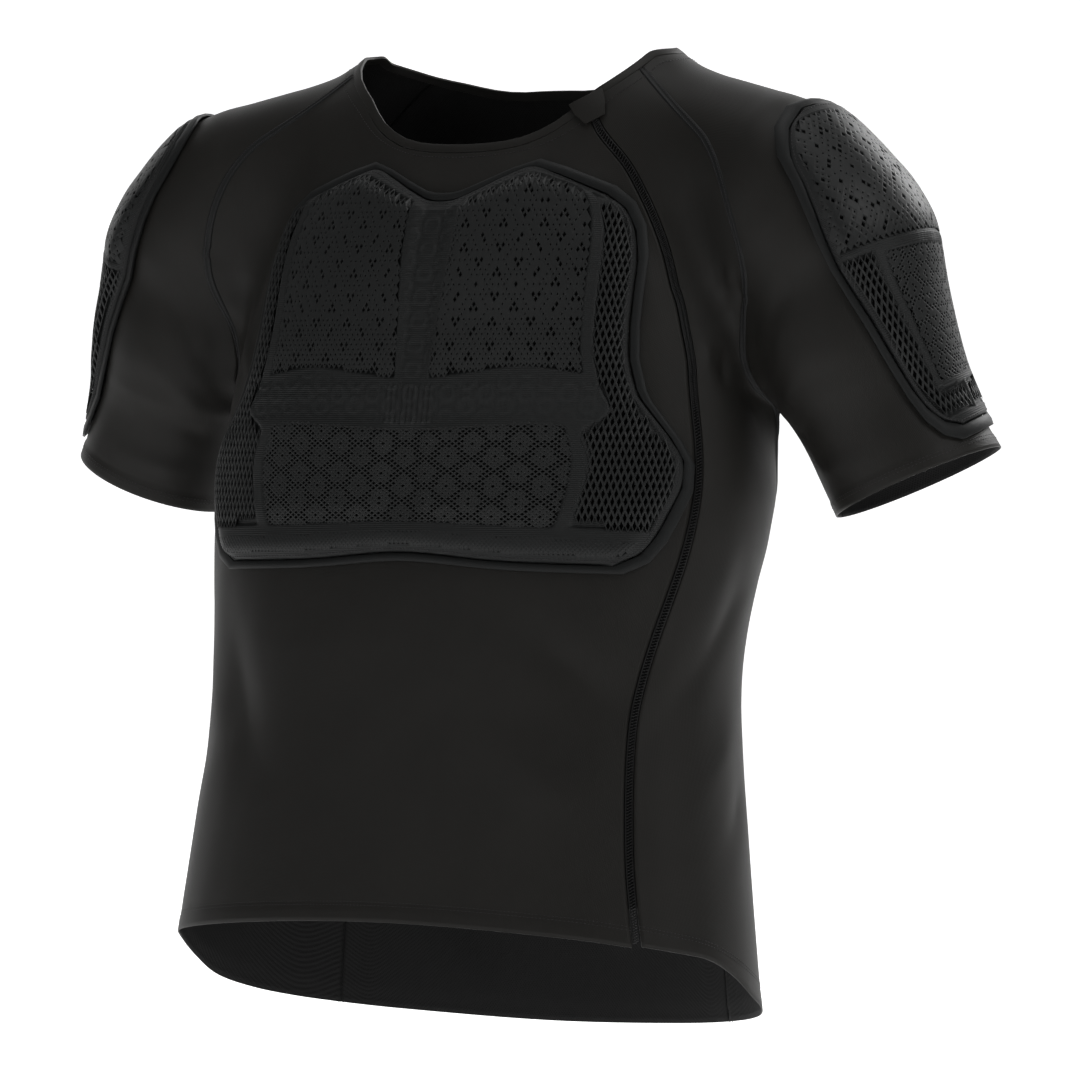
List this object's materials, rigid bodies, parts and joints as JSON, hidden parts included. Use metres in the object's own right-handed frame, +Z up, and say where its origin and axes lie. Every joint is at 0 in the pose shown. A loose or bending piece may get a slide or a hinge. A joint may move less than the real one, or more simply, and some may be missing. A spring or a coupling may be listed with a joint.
{
  "type": "padded compression shirt",
  "caption": "Close-fitting short-sleeved base-layer shirt in worn form, with a padded chest shield, padded shoulders and an offset front zip.",
  "frame": {"origin": "between the wearer's shoulders, level with the highest points of the neck opening", "axes": "+X to the wearer's left, -Y to the front, +Z up"},
  "size_m": [0.6806, 0.2709, 0.6416],
  "materials": {
    "jersey": "fine stretch warp knit, warm charcoal black, faint sheen",
    "mesh": "open power mesh, matt black",
    "pad": "open spacer knit over foam, cool black",
    "binding": "folded stretch binding, black",
    "zip": "moulded coil, black",
    "tape": "woven tape, black"
  },
  "bodies": {
    "root": {"front_panel": "jersey", "side_panel_left": "jersey", "back_panel": "mesh", "sleeve_left": "jersey", "sleeve_right": "jersey", "neck_band": "jersey", "zip_chain": "zip", "zip_tape": "tape", "zip_garage": "jersey", "chest_pad": "pad", "chest_pad_binding": "binding", "shoulder_pad_left": "pad", "shoulder_pad_binding_left": "binding", "shoulder_pad_right": "pad", "shoulder_pad_binding_right": "binding"}
  },
  "joints": []
}
